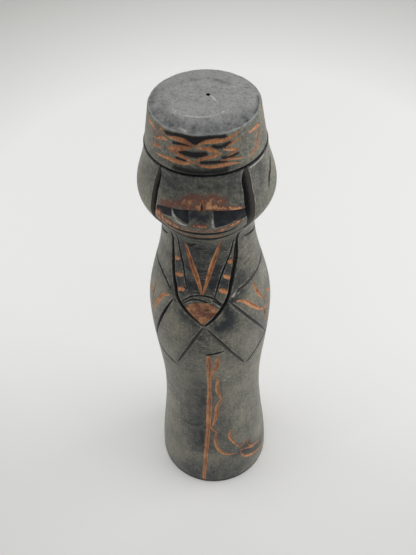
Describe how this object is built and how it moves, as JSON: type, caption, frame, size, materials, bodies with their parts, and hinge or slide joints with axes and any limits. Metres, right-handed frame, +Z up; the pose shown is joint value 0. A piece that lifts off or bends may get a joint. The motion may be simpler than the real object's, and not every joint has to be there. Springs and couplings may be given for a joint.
{
  "type": "kokeshi doll",
  "caption": "Standing turned wooden doll with a carved face, headband and robe, stained dark, with bare wood in the cuts; rests on its flat underside as an ornament.",
  "frame": {"origin": "centre of the flat underside, on the surface the doll stands on", "axes": "+Z up along the turning axis, -Y the way the face looks, +X to the right of someone looking at the face"},
  "size_m": [0.0438, 0.0438, 0.18],
  "materials": {
    "stained_wood": "satin black-brown stain, dusty and worn, with bare reddish wood in the carved strokes"
  },
  "bodies": {
    "root": {"doll": "stained_wood"}
  },
  "joints": []
}
